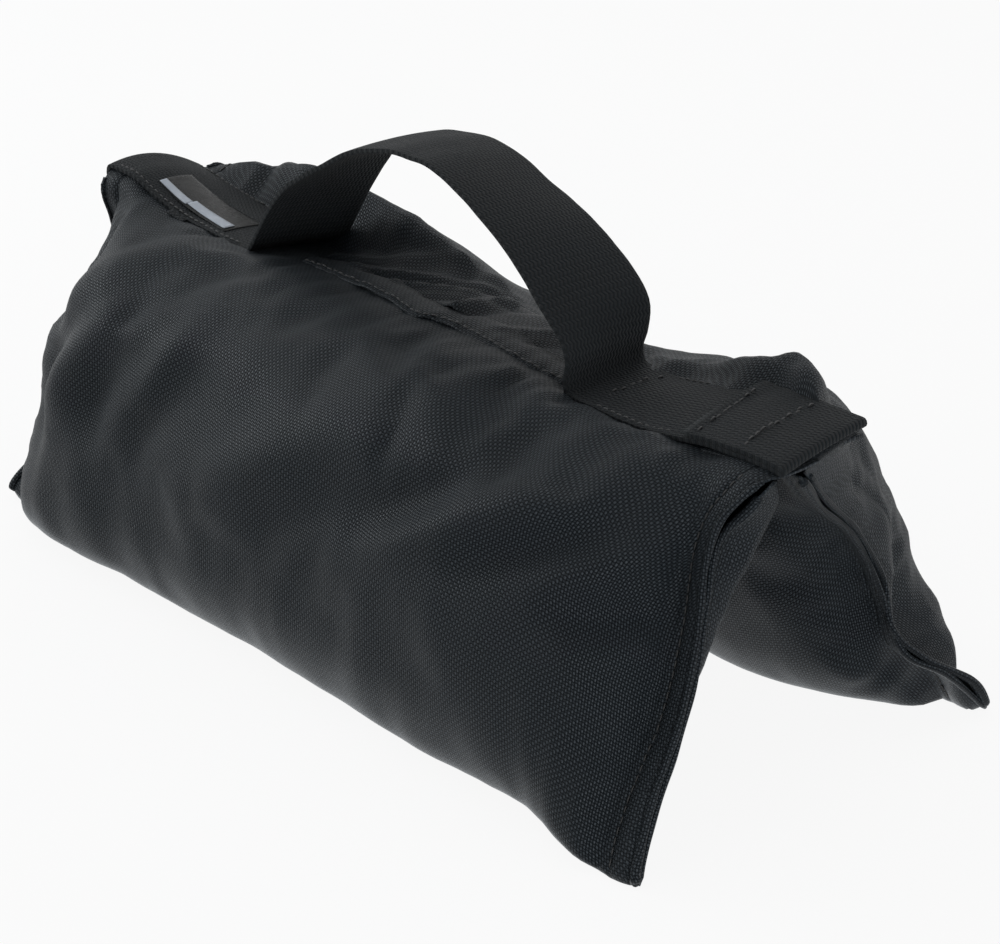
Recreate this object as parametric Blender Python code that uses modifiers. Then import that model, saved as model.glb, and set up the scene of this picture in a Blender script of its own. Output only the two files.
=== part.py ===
"""Saddle sandbag: two sand-filled pouches that hang from a ridge, under a webbing carry handle.

Metres, +Z up. The ridge runs along X and the origin is on the floor under its middle.
The front pouch lies towards -Y and the back pouch towards +Y.
"""

import math

import bmesh
import bpy
from mathutils import Matrix, Vector

# The whole bag
BAG_LENGTH = 0.444
AXIS_HEIGHT = 0.145
EAR_SPREAD = 0.0975
CLEARANCE = 0.0003
LEVEL_SNAP = 0.00005

# Webbing of the carry strap
WEBBING_WIDTH = 0.050
WEBBING_THICKNESS = 0.0022
LEFT_FOOT_END = -0.105
RIGHT_FOOT_END = 0.097
TURNED_BACK_LENGTH = 0.056
FOLD_GAP = 0.0006
STRAP_END_DROP = 0.005
LOOP_OVERLAP = 0.005
LOOP_RISE = 0.0655
LOOP_POWER_SHARE = 2.2
LOOP_STEP_POWER_SHARE = 1.7

# Fabric saddle panel under the strap
PANEL_THICKNESS = 0.002
PANEL_MARGIN = 0.0005
PANEL_END_INSET = 0.0025
EDGE_ROUND = 0.0006
EDGE_ROUND_LIMIT_SHARE = 0.33

# Rolled hem along each pouch's swing axis
HEM_RADIUS = 0.002
HEM_END_INSET = 0.012

# Pouch fabric, liner and the seam flanges at the pouch's ends
FABRIC_THICKNESS = 0.001
LINER_THICKNESS = 0.0008
FLANGE_THICKNESS = 0.0024
FLANGE_WIDTH = 0.018
SEAM_DROP = 0.0005
SEAM_ROW_INSET = 0.0065
SEAM_OFFSET = 0.0015
SEAM_THREAD_GAP = 0.0007
LEFT_DRAW_IN = 0.006
RIGHT_DRAW_IN = 0.021
POUCH_SWELL = 0.0915
FOOT_SINK = 0.006
EAR_SINK = 0.003
MOUTH_LENGTH = 0.150
MOUTH_WIDTH = 0.003
MOUTH_DEPTH = 0.012

# Label, tab and the hem of the closing lap
LABEL_LENGTH = 0.057
LABEL_WIDTH = 0.021
LABEL_THICKNESS = 0.0007
LABEL_END_INSET = 0.0275
LABEL_CENTRE_Y = -0.0085
TAB_LENGTH = 0.012
TAB_WIDTH = 0.0021
TAB_THICKNESS = 0.0016
TAB_END_INSET = 0.0495
LAP_LENGTH = 0.162
LAP_WIDTH = 0.015
LAP_THICKNESS = 0.0016
LAP_CENTRE_X = 0.010
LAP_CENTRE_Y = -0.0165

# Sewing thread
THREAD_RADIUS = 0.00045
THREAD_INSET = 0.003
EDGE_ROW_INSET = 0.0016
OUTER_ROW_INSET = 0.032
CREASE_ROW_INSET = 0.007

# Where each pouch's cross-section reaches: outward from the swing axis as a share of POUCH_SWELL,
# height as a share of AXIS_HEIGHT, the place along the end seam, which face of the flange it joins,
# and the share that it takes of the crest's rise
SECTION_SHARES = {
    "front": (
        (-0.011, 0.966, 0.00, 0, 0.0),
        (0.132, 1.041, 0.05, 1, 1.0),
        (0.484, 0.986, 0.22, 1, 0.8),
        (0.791, 0.772, 0.44, 1, 0.3),
        (0.945, 0.497, 0.65, 1, 0.0),
        (1.000, 0.234, 0.84, 1, 0.0),
        (0.901, 0.000, 1.00, 1, 0.0),
        (0.264, 0.000, 1.00, -1, 0.0),
        (0.066, 0.124, 0.84, -1, 0.0),
        (-0.044, 0.359, 0.62, -1, 0.0),
        (-0.143, 0.634, 0.36, -1, 0.0),
        (-0.176, 0.924, 0.08, -1, 0.0),
    ),
    "back": (
        (-0.011, 0.966, 0.00, 0, 0.0),
        (0.135, 0.975, 0.05, 1, 0.85),
        (0.430, 0.840, 0.22, 1, 1.0),
        (0.760, 0.665, 0.44, 1, 0.5),
        (0.945, 0.455, 0.65, 1, 0.0),
        (1.030, 0.234, 0.84, 1, 0.0),
        (0.930, 0.000, 1.00, 1, 0.0),
        (0.264, 0.000, 1.00, -1, 0.0),
        (0.066, 0.124, 0.84, -1, 0.0),
        (-0.044, 0.359, 0.62, -1, 0.0),
        (-0.143, 0.634, 0.36, -1, 0.0),
        (-0.176, 0.924, 0.08, -1, 0.0),
    ),
}
# The pouches' stations along X as a share of the half length, how full each one is, and how far its
# crest rises as a share of AXIS_HEIGHT
STATION_SHARES = {
    "front": (
        (-0.885, 0.43, 0.0),
        (-0.80, 0.76, 0.0),
        (-0.66, 0.95, 0.0),
        (-0.42, 1.0, 0.0),
        (-0.18, 1.0, 0.0),
        (0.18, 1.0, 0.0),
        (0.42, 1.0, 0.0),
        (0.66, 0.95, 0.0),
        (0.80, 0.76, 0.0),
        (0.885, 0.43, 0.0),
    ),
    "back": (
        (-0.885, 0.56, 0.07),
        (-0.80, 0.86, 0.09),
        (-0.66, 1.0, 0.10),
        (-0.42, 1.0, 0.09),
        (-0.18, 1.0, 0.01),
        (0.18, 1.0, -0.05),
        (0.42, 1.0, -0.01),
        (0.66, 1.0, 0.09),
        (0.80, 0.84, 0.12),
        (0.885, 0.50, 0.05),
    ),
}
SEAM_CURVE_SHARES = (0.75, 1.3)
MOUTH_SHARES = (-0.092, 0.945)
PINCH_POWER_SHARE = 4
THREAD_RUN_SHARES = (0.10, 0.95)

# Worked out from the sizes above
HALF_LENGTH = BAG_LENGTH / 2
PANEL_HALF_WIDTH = WEBBING_WIDTH / 2 + PANEL_MARGIN
AXIS_OFFSET = PANEL_HALF_WIDTH + CLEARANCE + HEM_RADIUS
PANEL_TOP = AXIS_HEIGHT + PANEL_THICKNESS / 2
FOOT_MIDDLE = PANEL_TOP + CLEARANCE + WEBBING_THICKNESS / 2
FOOT_TOP = FOOT_MIDDLE + WEBBING_THICKNESS / 2
LEAN_RADIUS = WEBBING_WIDTH / 2
LEAN_AXIS_HEIGHT = FOOT_TOP + CLEARANCE + LEAN_RADIUS
LOOP_CENTRE_X = (LEFT_FOOT_END + RIGHT_FOOT_END) / 2
LOOP_HALF_SPAN = (RIGHT_FOOT_END - LEFT_FOOT_END) / 2 + LOOP_OVERLAP
LABEL_CENTRE_X = -HALF_LENGTH + LABEL_END_INSET + LABEL_LENGTH / 2
TAB_CENTRE_X = -HALF_LENGTH + TAB_END_INSET + TAB_LENGTH / 2
LEAN_PIVOT = Vector((LOOP_CENTRE_X, 0, LEAN_AXIS_HEIGHT))

POUCH_CLOTH = ("pouch_fabric", (0.020, 0.024, 0.027), 0.62, 0.0)
WEBBING = ("webbing", (0.013, 0.015, 0.017), 0.70, 0.0)
THREAD = ("thread", (0.030, 0.032, 0.035), 0.55, 0.0)
LINER = ("liner_film", (0.55, 0.56, 0.55), 0.35, 0.0)
SAND = ("sand", (0.52, 0.42, 0.28), 0.90, 0.0)
LABEL = ("label_cloth", (0.045, 0.050, 0.052), 0.35, 0.0)


def clear_scene():
    for obj in list(bpy.data.objects):
        bpy.data.objects.remove(obj, do_unlink=True)


def new_collection(name):
    collection = bpy.data.collections.new(name)
    bpy.context.scene.collection.children.link(collection)
    return collection


def material_for(node, finish):
    kind, colour, roughness, metallic = finish
    material = bpy.data.materials.new(f"{node}_{kind}")
    material.use_nodes = True
    shader = material.node_tree.nodes["Principled BSDF"]
    shader.inputs["Base Color"].default_value = (*colour, 1)
    shader.inputs["Roughness"].default_value = roughness
    shader.inputs["Metallic"].default_value = metallic
    return material


def add_pivot(name, place):
    pivot = bpy.data.objects.new(name, None)
    pivot.location = place
    PARTS.objects.link(pivot)
    return pivot


def link_part(name, mesh, finish, pivot=None):
    """Links the mesh as a named piece. A piece with a pivot keeps its place and turns about that pivot."""
    obj = bpy.data.objects.new(name, mesh)
    PARTS.objects.link(obj)
    mesh.materials.append(material_for(name, finish))
    if pivot:
        mesh.transform(Matrix.Translation(-pivot.location))
        obj.parent = pivot
    return obj


def link_cutter(name, mesh):
    obj = bpy.data.objects.new(name, mesh)
    obj.hide_render = True
    obj.display_type = "WIRE"
    CUTTERS.objects.link(obj)
    return obj


def mesh_from(name, bm, smooth=False):
    mesh = bpy.data.meshes.new(name)
    bm.to_mesh(mesh)
    bm.free()
    if smooth:
        mesh.shade_smooth()
    return mesh


def box_mesh(name, size, centre, tilt=0):
    """A box of this size at this place, turned about X by the tilt."""
    bm = bmesh.new()
    bmesh.ops.create_cube(bm, size=1)
    turn = Matrix.Rotation(tilt, 4, "X")
    bm.transform(Matrix.Translation(centre) @ turn @ Matrix.Diagonal((*size, 1)))
    return mesh_from(name, bm)


def soft_box(name, size, centre, finish):
    obj = link_part(name, box_mesh(name, size, centre), finish)
    rounding = obj.modifiers.new("edges", "BEVEL")
    rounding.width = min(EDGE_ROUND, min(size) * EDGE_ROUND_LIMIT_SHARE)
    rounding.segments = 2
    return obj


def rod(name, start, end, radius, finish, pivot=None, sides=8):
    """A straight round piece from start to end."""
    start, end = Vector(start), Vector(end)
    along = end - start
    bm = bmesh.new()
    bmesh.ops.create_cone(
        bm, cap_ends=True, segments=sides, radius1=radius, radius2=radius, depth=along.length
    )
    turn = Vector((0, 0, 1)).rotation_difference(along.normalized()).to_matrix().to_4x4()
    bm.transform(Matrix.Translation((start + end) / 2) @ turn)
    mesh = mesh_from(name, bm, smooth=True)
    mesh.set_sharp_from_angle(angle=math.radians(50))
    return link_part(name, mesh, finish, pivot)


def arc(centre, radius, start_angle, end_angle, steps):
    """Points (x, z) along an arc, both ends included."""
    angles = [start_angle + (end_angle - start_angle) * k / steps for k in range(steps + 1)]
    return [(centre[0] + radius * math.cos(a), centre[1] + radius * math.sin(a)) for a in angles]


def webbing(name, path, finish, pivot=None, half_width=None, columns=2):
    """A flat band along the (x, z) path. half_width gives the band's half width at a height."""
    bm = bmesh.new()
    rows = []
    for x, z in path:
        reach = half_width(z) if half_width else WEBBING_WIDTH / 2
        shares = [2 * k / columns - 1 for k in range(columns + 1)]
        rows.append([bm.verts.new((x, reach * share, z)) for share in shares])
    for row, after in zip(rows, rows[1:]):
        for k in range(columns):
            bm.faces.new((row[k], row[k + 1], after[k + 1], after[k]))
    obj = link_part(name, mesh_from(name, bm, smooth=True), finish, pivot)
    thickness = obj.modifiers.new("thickness", "SOLIDIFY")
    thickness.thickness = WEBBING_THICKNESS
    thickness.offset = 0
    thickness.use_even_offset = True
    return obj


def seam_point(share):
    """(outward, height) on the end seam, which runs from under the hem down to the ear on the floor."""
    top = (AXIS_OFFSET + SEAM_OFFSET, AXIS_HEIGHT - SEAM_DROP)
    return top[0] + (EAR_SPREAD - top[0]) * share, top[1] - (top[1] + EAR_SINK) * share


def seam_normal():
    """Unit (outward, height) direction out of the end seam's flat flange."""
    top, bottom = seam_point(0), seam_point(1)
    run, fall = bottom[0] - top[0], top[1] - bottom[1]
    length = math.hypot(run, fall)
    return fall / length, run / length


def drawn_in(x, share):
    """How far the filled pouch pulls the cloth at x towards its middle, at this share of the end seam."""
    skew, sharpness = SEAM_CURVE_SHARES
    most = LEFT_DRAW_IN if x < 0 else RIGHT_DRAW_IN
    return most * math.sin(math.pi * share**skew) ** sharpness * (abs(x) / HALF_LENGTH) ** PINCH_POWER_SHARE


def section_point(x, fullness, rise, shares):
    """A point of the pouch's cage: the full cross-section, flattened onto the end seam's plane."""
    swell, height, seam, face, lifted = shares
    full = (AXIS_OFFSET + POUCH_SWELL * swell, AXIS_HEIGHT * (height + rise * lifted))
    if height == 0:
        full = (full[0], -FOOT_SINK)
    flat = seam_point(seam)
    out, up = seam_normal()
    flat = (flat[0] + out * face * FLANGE_THICKNESS / 2, flat[1] + up * face * FLANGE_THICKNESS / 2)
    outward = flat[0] + (full[0] - flat[0]) * fullness
    upward = flat[1] + (full[1] - flat[1]) * fullness
    return math.copysign(abs(x) - drawn_in(x, seam), x), outward, upward


def pouch_mesh(name, side, flanged, inset=0):
    """The pouch's coarse cage, with its flat end flanges or without, shrunk by the inset."""
    label = "front" if side < 0 else "back"
    section = SECTION_SHARES[label]
    stations = [(HALF_LENGTH * share, fullness, rise) for share, fullness, rise in STATION_SHARES[label]]
    if flanged:
        left = [(-HALF_LENGTH, 0, 0), (FLANGE_WIDTH - HALF_LENGTH, 0, 0)]
        right = [(HALF_LENGTH - FLANGE_WIDTH, 0, 0), (HALF_LENGTH, 0, 0)]
        stations = left + stations + right
    bm = bmesh.new()
    rings = []
    for x, fullness, rise in stations:
        points = [section_point(x, fullness, rise, shares) for shares in section]
        rings.append([bm.verts.new((px, side * out, up)) for px, out, up in points])
    count = len(section)
    for ring, after in zip(rings, rings[1:]):
        for k in range(count):
            following = (k + 1) % count
            bm.faces.new((ring[k], ring[following], after[following], after[k]))
    for ring in (rings[0], rings[-1]):
        bm.faces.new((ring[0], ring[1], ring[-1]))
        for k in range(1, count // 2 - 1):
            bm.faces.new((ring[k], ring[k + 1], ring[-k - 1], ring[-k]))
        bm.faces.new((ring[count // 2 - 1], ring[count // 2], ring[count // 2 + 1]))
    bmesh.ops.recalc_face_normals(bm, faces=bm.faces)
    bm.normal_update()
    for vert, normal in [(vert, vert.normal.copy()) for vert in bm.verts]:
        vert.co -= normal * inset
    if flanged:
        crease = bm.edges.layers.float.new("crease_edge")
        for ring in (rings[0], rings[-1]):
            ends = set(ring)
            for edge in bm.edges:
                if set(edge.verts) <= ends:
                    edge[crease] = 1
    return mesh_from(name, bm, smooth=True)


def soft_form(name, side, flanged, inset=0):
    """The pouch's rounded form, shrunk by the inset and cut flat where it rests."""
    cage = bpy.data.objects.new(name, pouch_mesh(name, side, flanged, inset))
    CUTTERS.objects.link(cage)
    smooth = cage.modifiers.new("soft form", "SUBSURF")
    smooth.levels = 1
    smooth.render_levels = smooth.levels
    graph = bpy.context.evaluated_depsgraph_get()
    bm = bmesh.new()
    bm.from_mesh(cage.evaluated_get(graph).to_mesh())
    bpy.data.objects.remove(cage, do_unlink=True)
    # Fixed diagonals keep the facets of the nested layers parallel.
    bmesh.ops.triangulate(bm, faces=bm.faces, quad_method="FIXED")
    everything = bm.verts[:] + bm.edges[:] + bm.faces[:]
    bmesh.ops.bisect_plane(
        bm,
        geom=everything,
        dist=LEVEL_SNAP,
        plane_co=(0, 0, inset),
        plane_no=(0, 0, -1),
        clear_outer=True,
    )
    rims = [edge for edge in bm.edges if edge.is_boundary]
    bmesh.ops.holes_fill(bm, edges=rims)
    bmesh.ops.triangulate(bm, faces=[face for face in bm.faces if len(face.verts) > 3])
    return mesh_from(name, bm, smooth=True)


def cut(obj, cutter):
    cutting = obj.modifiers.new(f"less {cutter.name}", "BOOLEAN")
    cutting.operation = "DIFFERENCE"
    cutting.object = cutter
    cutting.solver = "EXACT"


def pouch(label, side):
    """One pouch: its shell, the liner bag inside, the sand in that, its hem and its seam threads.

    The mouth, a slot under the saddle panel, is where the pouch is filled before it is sewn shut.
    """
    pivot = add_pivot(f"{label}_pouch_pivot", (0, side * AXIS_OFFSET, AXIS_HEIGHT))
    layers = {
        "shell_cavity": FABRIC_THICKNESS,
        "liner_form": FABRIC_THICKNESS + CLEARANCE,
        "liner_cavity": FABRIC_THICKNESS + CLEARANCE + LINER_THICKNESS,
        "sand_form": FABRIC_THICKNESS + LINER_THICKNESS + 2 * CLEARANCE,
    }
    swell, height = MOUTH_SHARES
    middle = (0, side * (AXIS_OFFSET + POUCH_SWELL * swell), AXIS_HEIGHT * height)
    mouth = link_cutter(
        f"{label}_mouth",
        box_mesh("mouth", (MOUTH_LENGTH, MOUTH_WIDTH, MOUTH_DEPTH), middle, side * math.pi / 4),
    )

    def form(layer):
        return soft_form(layer, side, False, layers[layer])

    shell = link_part(f"{label}_pouch_shell", soft_form("shell", side, True), POUCH_CLOTH, pivot)
    cut(shell, link_cutter(f"{label}_shell_cavity", form("shell_cavity")))
    cut(shell, mouth)
    liner = link_part(f"{label}_liner_bag", form("liner_form"), LINER, pivot)
    cut(liner, link_cutter(f"{label}_liner_cavity", form("liner_cavity")))
    cut(liner, mouth)
    link_part(f"{label}_sand_fill", form("sand_form"), SAND, pivot)

    hem_end = HALF_LENGTH - HEM_END_INSET
    hem_place = (pivot.location.y, pivot.location.z)
    start, end = (-hem_end, *hem_place), (hem_end, *hem_place)
    rod(f"{label}_top_hem", start, end, HEM_RADIUS, POUCH_CLOTH, pivot, 10)
    for towards, end_name in ((-1, "left"), (1, "right")):
        seam_thread(f"{label}_seam_thread_{end_name}", side, towards, pivot)


def seam_thread(name, side, end, pivot):
    """The thread that closes one end of a pouch, on the outer face of its flange."""
    lift = FLANGE_THICKNESS / 2 + SEAM_THREAD_GAP + THREAD_RADIUS
    out, up = seam_normal()
    steps = 14
    points = []
    for k in range(steps + 1):
        share = THREAD_RUN_SHARES[0] + (THREAD_RUN_SHARES[1] - THREAD_RUN_SHARES[0]) * k / steps
        outward, upward = seam_point(share)
        row = HALF_LENGTH - SEAM_ROW_INSET
        x = row - drawn_in(end * row, share)
        points.append(Vector((end * x, side * (outward + out * lift), upward + up * lift)))
    curve = bpy.data.curves.new(name, "CURVE")
    curve.dimensions = "3D"
    curve.bevel_depth = THREAD_RADIUS
    curve.bevel_resolution = 1
    curve.use_fill_caps = True
    spline = curve.splines.new("POLY")
    spline.points.add(steps)
    for point, place in zip(spline.points, points):
        point.co = (*(place - pivot.location), 1)
    obj = bpy.data.objects.new(name, curve)
    PARTS.objects.link(obj)
    curve.materials.append(material_for(name, THREAD))
    obj.parent = pivot


def saddle_panel():
    length = BAG_LENGTH - 2 * PANEL_END_INSET
    size = (length, 2 * PANEL_HALF_WIDTH, PANEL_THICKNESS)
    soft_box("saddle_panel", size, (0, 0, AXIS_HEIGHT), POUCH_CLOTH)


def strap_feet():
    """The carry strap's two sewn ends. The left one rolls over the panel's end, the right one folds back."""
    bend = WEBBING_THICKNESS
    end_x = -HALF_LENGTH + WEBBING_THICKNESS / 2
    turn = arc((end_x + bend, FOOT_MIDDLE - bend), bend, math.pi, math.pi / 2, 4)
    left = [(end_x, FOOT_MIDDLE - bend - STRAP_END_DROP), *turn, (LEFT_FOOT_END, FOOT_MIDDLE)]
    webbing("strap_foot_left", left, WEBBING)

    fold = (WEBBING_THICKNESS + FOLD_GAP) / 2
    fold_x = HALF_LENGTH - WEBBING_THICKNESS / 2 - fold
    turn = arc((fold_x, FOOT_MIDDLE + fold), fold, -math.pi / 2, math.pi / 2, 6)
    end = (HALF_LENGTH - TURNED_BACK_LENGTH, FOOT_MIDDLE + 2 * fold)
    webbing("strap_foot_right", [(RIGHT_FOOT_END, FOOT_MIDDLE), *turn, end], WEBBING)


def loop_half_width(height):
    """Half of the loop's width: full above the lean axis, and round about it below."""
    droop = WEBBING_THICKNESS / 2
    below = max(0, LEAN_AXIS_HEIGHT - height + droop)
    return math.sqrt(max(LEAN_RADIUS**2 - below**2, (WEBBING_THICKNESS / 2) ** 2))


def handle_loop():
    """The standing loop of the strap. Its ends are round about the lean axis, so that it can lean."""
    pivot = add_pivot("handle_pivot", LEAN_PIVOT)
    base = FOOT_TOP + CLEARANCE + WEBBING_THICKNESS / 2
    steps = 13
    half = []
    for k in range(steps + 1):
        run = 1 - (k / steps) ** LOOP_STEP_POWER_SHARE
        half.append((run, 1 - run**LOOP_POWER_SHARE))
    path = [(LOOP_CENTRE_X - LOOP_HALF_SPAN * run, base + LOOP_RISE * rise) for run, rise in half]
    path += [(2 * LOOP_CENTRE_X - x, z) for x, z in reversed(path[:-1])]
    webbing("handle_loop", path, WEBBING, pivot, loop_half_width, 4)


def label_and_tab():
    height = FOOT_TOP + CLEARANCE + LABEL_THICKNESS / 2
    soft_box(
        "label_patch",
        (LABEL_LENGTH, LABEL_WIDTH, LABEL_THICKNESS),
        (LABEL_CENTRE_X, LABEL_CENTRE_Y, height),
        LABEL,
    )
    beside = WEBBING_WIDTH / 2 + CLEARANCE + TAB_WIDTH / 2
    above = AXIS_HEIGHT + HEM_RADIUS + CLEARANCE + TAB_THICKNESS / 2
    soft_box(
        "label_tab", (TAB_LENGTH, TAB_WIDTH, TAB_THICKNESS), (TAB_CENTRE_X, -beside, above), WEBBING
    )


def closing_lap():
    """The folded hem on the ridge, sewn down where the pouches were closed after filling."""
    height = PANEL_TOP + CLEARANCE + LAP_THICKNESS / 2
    size = (LAP_LENGTH, LAP_WIDTH, LAP_THICKNESS)
    soft_box("lap_hem", size, (LAP_CENTRE_X, LAP_CENTRE_Y, height), POUCH_CLOTH)
    half = LAP_LENGTH / 2 - THREAD_INSET
    y = LAP_CENTRE_Y - LAP_WIDTH / 2 + THREAD_INSET
    z = height + LAP_THICKNESS / 2 + CLEARANCE + THREAD_RADIUS
    rod("lap_thread", (LAP_CENTRE_X - half, y, z), (LAP_CENTRE_X + half, y, z), THREAD_RADIUS, THREAD)


def strap_threads():
    """Rows of thread that sew the strap's ends to the ridge: across it, and along its edges."""
    side = WEBBING_WIDTH / 2 - EDGE_ROW_INSET
    lift = CLEARANCE + THREAD_RADIUS
    single = FOOT_TOP + lift
    double = FOOT_TOP + WEBBING_THICKNESS + FOLD_GAP + lift
    rows = {
        "cross_thread_left": (LEFT_FOOT_END - CREASE_ROW_INSET, single),
        "cross_thread_right": (RIGHT_FOOT_END + CREASE_ROW_INSET, single),
        "end_thread_inner": (HALF_LENGTH - TURNED_BACK_LENGTH + THREAD_INSET, double),
        "end_thread_outer": (HALF_LENGTH - OUTER_ROW_INSET, double),
    }
    for name, (x, z) in rows.items():
        rod(name, (x, THREAD_INSET - side, z), (x, side - THREAD_INSET, z), THREAD_RADIUS, THREAD)
    left = (-HALF_LENGTH + WEBBING_THICKNESS + THREAD_INSET, LEFT_FOOT_END - 2 * CREASE_ROW_INSET)
    right = (
        RIGHT_FOOT_END + 2 * CREASE_ROW_INSET,
        HALF_LENGTH - TURNED_BACK_LENGTH - THREAD_INSET,
    )
    for foot, (start, end) in (("left", left), ("right", right)):
        for edge, y in (("near", -side), ("far", side)):
            rod(f"edge_thread_{foot}_{edge}", (start, y, single), (end, y, single), THREAD_RADIUS, THREAD)


clear_scene()
PARTS = new_collection("saddle_sandbag")
CUTTERS = new_collection("cutters")
saddle_panel()
strap_feet()
label_and_tab()
closing_lap()
strap_threads()
handle_loop()
pouch("front", -1)
pouch("back", 1)
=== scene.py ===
"""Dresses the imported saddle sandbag: sewn pouches, webbing strap, label, seams and stitches."""

import math

import bmesh
import bpy
import numpy as np
from mathutils import Matrix, Vector, noise


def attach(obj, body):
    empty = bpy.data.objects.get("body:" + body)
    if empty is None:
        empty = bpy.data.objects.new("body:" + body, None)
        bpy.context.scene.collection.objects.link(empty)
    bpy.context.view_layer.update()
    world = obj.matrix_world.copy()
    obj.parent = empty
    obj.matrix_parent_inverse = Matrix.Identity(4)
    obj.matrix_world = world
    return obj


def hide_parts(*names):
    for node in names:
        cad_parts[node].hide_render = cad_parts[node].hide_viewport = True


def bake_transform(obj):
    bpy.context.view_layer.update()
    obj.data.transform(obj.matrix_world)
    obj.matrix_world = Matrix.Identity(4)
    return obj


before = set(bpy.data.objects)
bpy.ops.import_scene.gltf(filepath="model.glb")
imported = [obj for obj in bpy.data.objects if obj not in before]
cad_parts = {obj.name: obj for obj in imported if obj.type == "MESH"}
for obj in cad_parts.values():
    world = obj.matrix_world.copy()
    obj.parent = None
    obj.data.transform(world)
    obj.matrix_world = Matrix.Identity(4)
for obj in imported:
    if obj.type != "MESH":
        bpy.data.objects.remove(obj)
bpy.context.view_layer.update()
scene = bpy.context.scene
MM = 0.001
THREAD_PITCH = 1.3 * MM  # pouch cloth
WEBBING_ROW = 1.82 * MM
WEBBING_CORD = 2.05 * MM
TWIST = 9000  # radians a metre
LABEL_THREAD = 0.45 * MM
LABEL_CROSS = 0.5 * MM

# Small numeric helpers


def curve(pairs):
    """A smooth monotone-limited curve through (place, value) pairs."""
    at = np.array([p[0] for p in pairs], float)
    val = np.array([p[1] for p in pairs], float)
    step = np.diff(at)
    slope = np.diff(val) / step
    tangent = np.zeros(len(at))
    tangent[0], tangent[-1] = slope[0], slope[-1]
    for k in range(1, len(at) - 1):
        if slope[k - 1] * slope[k] > 0:
            a, b = 2 * step[k] + step[k - 1], step[k] + 2 * step[k - 1]
            tangent[k] = (a + b) / (a / slope[k - 1] + b / slope[k])

    def value(x):
        x = np.clip(np.asarray(x, float), at[0], at[-1])
        k = np.clip(np.searchsorted(at, x, side="right") - 1, 0, len(at) - 2)
        h = step[k]
        t = (x - at[k]) / h
        return ((1 + 2 * t) * (1 - t) ** 2 * val[k] + t * (1 - t) ** 2 * h * tangent[k]
                + t * t * (3 - 2 * t) * val[k + 1] + t * t * (t - 1) * h * tangent[k + 1])

    return value


def smooth(x, low, high):
    t = np.clip((np.asarray(x, float) - low) / (high - low), 0, 1)
    return t * t * (3 - 2 * t)


def bell(x, centre, width):
    return np.exp(-(((np.asarray(x, float) - centre) / width) ** 2))


def ring_spline(points, places):
    """A Catmull-Rom curve through the points of each station, read at the places (0 to 1)."""
    count = points.shape[1]
    first, last = 2 * points[:, :1] - points[:, 1:2], 2 * points[:, -1:] - points[:, -2:-1]
    padded = np.concatenate([first, points, last], 1)
    at = np.clip(places, 0, 1) * (count - 1)
    k = np.clip(at.astype(int), 0, count - 2)
    t = (at - k)[None, :, None]
    a, b, c, d = (padded[:, k + n] for n in range(4))
    return 0.5 * (2 * b + (c - a) * t + (2 * a - 5 * b + 4 * c - d) * t**2 + (3 * b - a - 3 * c + d) * t**3)


def distances(points, axis=0):
    """Distance from the start along each line of points."""
    steps = np.linalg.norm(np.diff(points, axis=axis), axis=-1)
    return np.cumsum(np.insert(steps, 0, 0, axis=axis), axis=axis)


def walk(path, wanted):
    """Points of a path at some distances from its start."""
    run = distances(path)
    return np.stack([np.interp(wanted, run, column) for column in path.T], 1)


def beside(x, y, a, b):
    """Share of the way from a to b at which each point lies, and its distance from that line."""
    a, b = np.array(a, float), np.array(b, float)
    d = b - a
    t = np.clip(((x - a[0]) * d[0] + (y - a[1]) * d[1]) / (d @ d), 0, 1)
    return t, np.hypot(x - a[0] - t * d[0], y - a[1] - t * d[1])


def triples(x, y, z):
    """Points from their three parts, which may have any matching shapes."""
    return np.stack(np.broadcast_arrays(x, y, z), -1)


def flat_place(u, v, wear=0.0):
    """Places on the flat cloth, from mm, and wear from 0 to 1."""
    return triples(u * MM, v * MM, wear)


def normals_of(grid):
    n = np.cross(np.gradient(grid, axis=0), np.gradient(grid, axis=1))
    return n / np.maximum(np.linalg.norm(n, axis=2, keepdims=True), 1e-12)


def perlin(points, scale, seed, stretch=(1, 1, 1)):
    shift = Vector((seed * 17.13, seed * 7.77, seed * 3.31))
    flat = (points * np.array(stretch)).reshape(-1, 3) / scale
    out = [noise.noise(Vector(p) + shift) for p in flat]
    return np.array(out).reshape(points.shape[:-1])


# Object and mesh helpers


def assign(owner, **values):
    for name, value in values.items():
        setattr(owner, name, value)


def link(name, data):
    obj = bpy.data.objects.new(name, data)
    scene.collection.objects.link(obj)
    return obj


def piece_of(name, points, faces, weave, material):
    """A smooth object from points in mm. Its materials read the weave: places on the flat cloth, and wear."""
    mesh = bpy.data.meshes.new(name)
    mesh.from_pydata((points.reshape(-1, 3) * MM).tolist(), [], faces)
    layer = mesh.attributes.new("weave", "FLOAT_VECTOR", "POINT")
    layer.data.foreach_set("vector", np.asarray(weave, np.float32).ravel())
    mesh.shade_smooth()
    if material:
        mesh.materials.append(material)
    return link(name, mesh)


def grid_mesh(name, grid, weave, material, flip=False):
    """A surface from a grid of points in mm."""
    rows, columns = grid.shape[:2]
    index = np.arange(rows * columns).reshape(rows, columns)
    quads = np.stack([index[:-1, :-1], index[1:, :-1], index[1:, 1:], index[:-1, 1:]], -1).reshape(-1, 4)
    if flip:
        quads = quads[:, ::-1]
    return piece_of(name, grid, quads.tolist(), weave, material)


def modify(obj, kind, **values):
    """Adds a modifier and applies it."""
    assign(obj.modifiers.new("change", kind), **values)
    graph = bpy.context.evaluated_depsgraph_get()
    mesh = bpy.data.meshes.new_from_object(obj.evaluated_get(graph))
    old = obj.data
    obj.modifiers.clear()
    obj.data = mesh
    bpy.data.meshes.remove(old)
    mesh.name = obj.name
    return obj


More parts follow.
